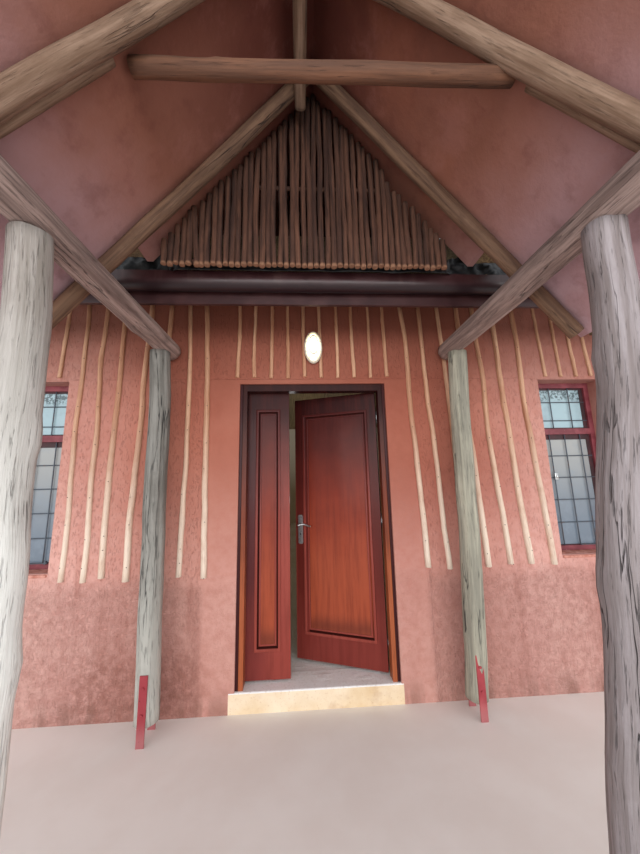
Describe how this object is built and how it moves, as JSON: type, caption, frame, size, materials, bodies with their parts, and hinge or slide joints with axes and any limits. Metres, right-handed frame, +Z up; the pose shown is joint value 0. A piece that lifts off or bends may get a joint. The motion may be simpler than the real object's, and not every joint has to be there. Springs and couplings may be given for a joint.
{
  "type": "thatched rondavel hut",
  "caption": "Six-sided thatched rondavel with plastered walls, decorative poles and a gabled log porch; the entrance leaves and lever move.",
  "frame": {"origin": "middle of the hut on the ground, on the underside of the floor slab", "axes": "+Z up; the entrance front faces -Y; +X to the right seen from the front"},
  "size_m": [12.4732, 12.2242, 7.3821],
  "materials": {
    "cap": "trowelled mortar",
    "door_wood": "varnished hardwood",
    "fascia": "gloss paint",
    "floor": "polished cement",
    "glass": "clear sheet",
    "gutter": "gloss paint",
    "lamp": "lit opal glass in a cage",
    "lining": "painted board",
    "metal": "plated",
    "plaster": "rough hand-trowelled plaster with limewash",
    "poles": "weathered round poles",
    "shoes": "red oxide paint",
    "step": "cast stone",
    "sticks": "weathered bark",
    "thatch": "combed grass thatch",
    "wall_poles": "peeled and varnished",
    "window_wood": "painted timber"
  },
  "bodies": {
    "hut": {"back_rafters": "poles", "back_wall": "plaster", "door_frame": "door_wood", "door_step": "step", "fascia": "fascia", "floor_slab": "floor", "frame_hinges": "metal", "front_wall_left": "plaster", "front_wall_poles": "wall_poles", "front_wall_right": "plaster", "front_window_frames": "window_wood", "front_window_glass": "glass", "gable_sticks": "sticks", "gutter_back": "gutter", "gutter_floor": "gutter", "gutter_front": "gutter", "hip_rafters": "poles", "left_back_wall": "plaster", "left_beam": "poles", "left_front_post": "poles", "left_front_rafter": "poles", "left_front_wall": "plaster", "left_inner_post": "poles", "porch_lining_left": "lining", "porch_lining_right": "lining", "porch_thatch_left": "thatch", "porch_thatch_right": "thatch", "post_shoes": "shoes", "rafter_hub": "poles", "rafter_splices": "poles", "ridge_pole": "poles", "right_back_wall": "plaster", "right_beam": "poles", "right_front_post": "poles", "right_front_rafter": "poles", "right_front_wall": "plaster", "right_inner_post": "poles", "roof_cap": "cap", "side_wall_poles": "wall_poles", "side_window_frames": "window_wood", "side_window_glass": "glass", "straight_rafters": "poles", "thatch_back": "thatch", "thatch_front": "thatch", "thatch_left_back": "thatch", "thatch_left_front": "thatch", "thatch_right_back": "thatch", "thatch_right_front": "thatch", "tie_log": "poles", "wall_lamp": "lamp", "wall_over_door": "plaster"},
    "door_leaf": {"door_leaf": "door_wood", "door_leaf_hinges": "metal", "lock_plates": "metal"},
    "side_leaf": {"side_leaf": "door_wood", "side_leaf_hinges": "metal"},
    "lever": {"lever_handle": "metal"}
  },
  "joints": [
    {"name": "door_hinge", "type": "hinge", "parent": "hut", "child": "door_leaf", "pos_m": [0.5425, -4.60714, 0], "axis": [0, 0, -1], "range_deg": [-22, 68]},
    {"name": "side_leaf_hinge", "type": "hinge", "parent": "hut", "child": "side_leaf", "pos_m": [-0.5425, -4.60714, 0], "axis": [0, 0, 1], "range_deg": [0, 90]},
    {"name": "lever_turn", "type": "hinge", "parent": "door_leaf", "child": "lever", "pos_m": [-0.10858, -4.37536, 1.188], "axis": [0.3746, 0.9272, 0], "range_deg": [0, 40], "stiffness_Nm_per_rad": 1}
  ]
}
